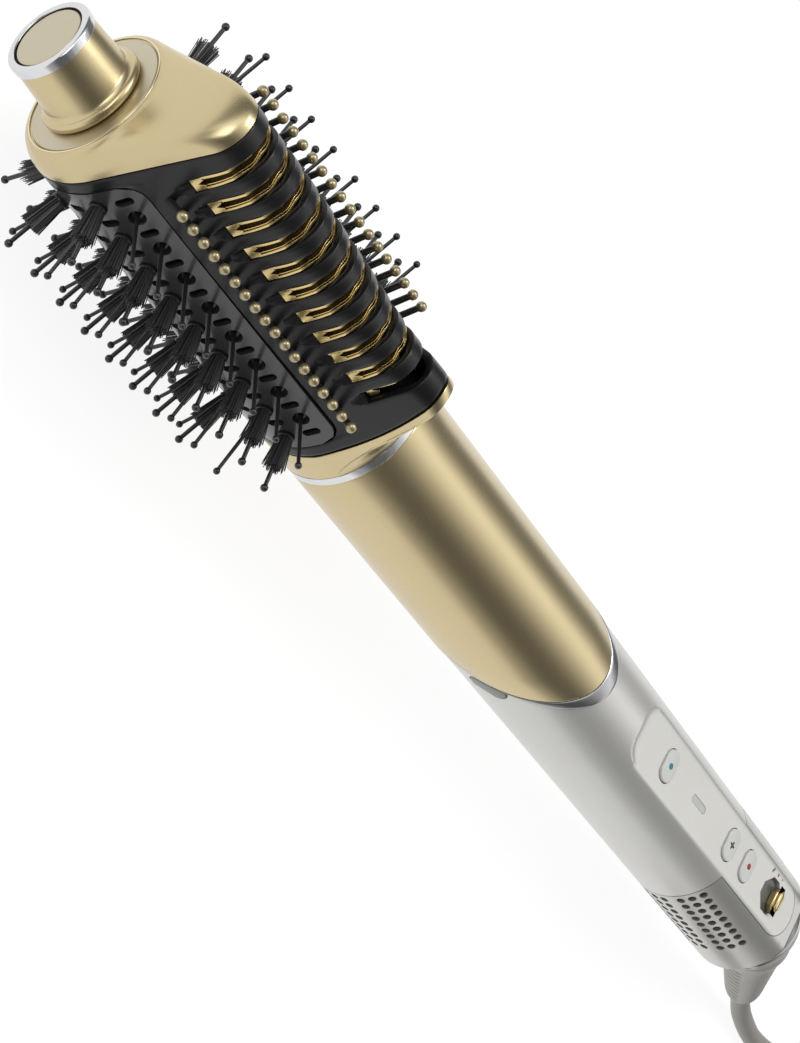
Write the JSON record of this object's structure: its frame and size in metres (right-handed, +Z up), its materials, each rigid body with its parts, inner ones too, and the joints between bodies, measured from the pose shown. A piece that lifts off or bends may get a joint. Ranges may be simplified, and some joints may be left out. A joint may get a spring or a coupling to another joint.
{
  "type": "hot air styler",
  "caption": "Hot air styler: heated brush head with ribbed nose, bristle rows and cool tip, on a pull-off barrel, with a fan handle, buttons, swivel cord and plug.",
  "frame": {"origin": "centre of the tool's footprint on the table, without the cord", "axes": "+X along the tool towards the cool tip, +Z up, towards the nose and the buttons, +Y towards the release tab"},
  "size_m": [0.5919, 0.1177, 0.0769],
  "materials": {
    "champagne": "satin metallic, champagne gold",
    "chrome": "polished",
    "black_gloss": "glossy moulded black",
    "panel_grey": "glossy dark grey",
    "bristle_nylon": "satin black nylon",
    "fin_gold": "bright gold anodised",
    "ball_gold": "pearly gold",
    "grip_grey": "satin warm light grey",
    "sleeve_grey": "satin metallic grey",
    "ring_grey": "glossy grey",
    "tab_grey": "satin mid grey",
    "button_white": "satin off-white",
    "boot_rubber": "satin warm grey",
    "cord_rubber": "satin warm grey",
    "tie_fabric": "woven hook and loop",
    "plug_black": "satin moulded",
    "nickel": "nickel plated",
    "board_green": "solder mask",
    "switch_black": "moulded",
    "motor_steel": "plated can",
    "mica": "pressed mica sheet",
    "mesh_steel": "woven wire",
    "contact_brass": "plated"
  },
  "bodies": {
    "handle": {"joint_crescent": "chrome", "handle_shell": "grip_grey", "indicator_lens": "button_white", "circuit_board": "board_green", "switches": "switch_black", "motor_can": "motor_steel", "motor_mount": "switch_black", "filter_sleeve": "sleeve_grey", "filter_mesh": "mesh_steel", "end_ring": "ring_grey", "contact_block": "contact_brass"},
    "attachment": {"tip_disc": "champagne", "tip_ring": "chrome", "tip_knob": "champagne", "cap_disc": "champagne", "cap_trim": "chrome", "end_cap": "champagne", "head_frame": "black_gloss", "bristle_panel": "panel_grey", "pin_row_1": "bristle_nylon", "pin_row_2": "bristle_nylon", "pin_row_3": "bristle_nylon", "pin_row_4": "bristle_nylon", "pin_row_5": "bristle_nylon", "pin_row_6": "bristle_nylon", "pin_row_7": "bristle_nylon", "tuft_row_1": "bristle_nylon", "tuft_row_2": "bristle_nylon", "tuft_row_3": "bristle_nylon", "tuft_row_4": "bristle_nylon", "tuft_row_5": "bristle_nylon", "tuft_row_6": "bristle_nylon", "ball_combs": "bristle_nylon", "ball_tips": "ball_gold", "heat_fins": "fin_gold", "heater_former": "mica", "head_collar": "champagne", "collar_ring": "chrome", "barrel_sleeve": "champagne", "coupling_spigot": "switch_black", "spigot_flange": "switch_black", "contact_strips": "contact_brass"},
    "fan": {"impeller": "switch_black", "motor_shaft": "motor_steel"},
    "latch": {"latch_tab": "tab_grey"},
    "cool_button": {"cool_shot_button": "button_white"},
    "speed_button": {"fan_button": "button_white"},
    "warm_button": {"heat_button": "button_white"},
    "slider": {"mode_slider": "fin_gold"},
    "swivel": {"swivel_dome": "boot_rubber", "strain_relief": "boot_rubber", "cord": "cord_rubber", "cord_coil": "cord_rubber", "cord_tail": "cord_rubber", "cord_tie": "tie_fabric", "plug_body": "plug_black", "plug_pins": "nickel"}
  },
  "joints": [
    {"name": "attachment_pull", "type": "slide", "parent": "handle", "child": "attachment", "axis": [1, 0, 0], "range_m": [0, 0.07]},
    {"name": "fan_spin", "type": "hinge", "parent": "handle", "child": "fan", "pos_m": [0, 0, 0.0357], "axis": [1, 0, 0], "continuous": true},
    {"name": "latch_press", "type": "slide", "parent": "handle", "child": "latch", "axis": [0, -1, 0], "range_m": [0, 0.0012], "stiffness_N_per_m": 800},
    {"name": "cool_shot_press", "type": "slide", "parent": "handle", "child": "cool_button", "axis": [0, 0, -1], "range_m": [0, 0.0006], "stiffness_N_per_m": 1500},
    {"name": "fan_press", "type": "slide", "parent": "handle", "child": "speed_button", "axis": [0, 0, -1], "range_m": [0, 0.0006], "stiffness_N_per_m": 1500},
    {"name": "heat_press", "type": "slide", "parent": "handle", "child": "warm_button", "axis": [0, 0, -1], "range_m": [0, 0.0006], "stiffness_N_per_m": 1500},
    {"name": "mode_slide", "type": "slide", "parent": "handle", "child": "slider", "axis": [1, 0, 0], "range_m": [0, 0.0063]},
    {"name": "cord_swivel", "type": "hinge", "parent": "handle", "child": "swivel", "pos_m": [-0.19, 0, 0.0357], "axis": [1, 0, 0], "continuous": true}
  ]
}
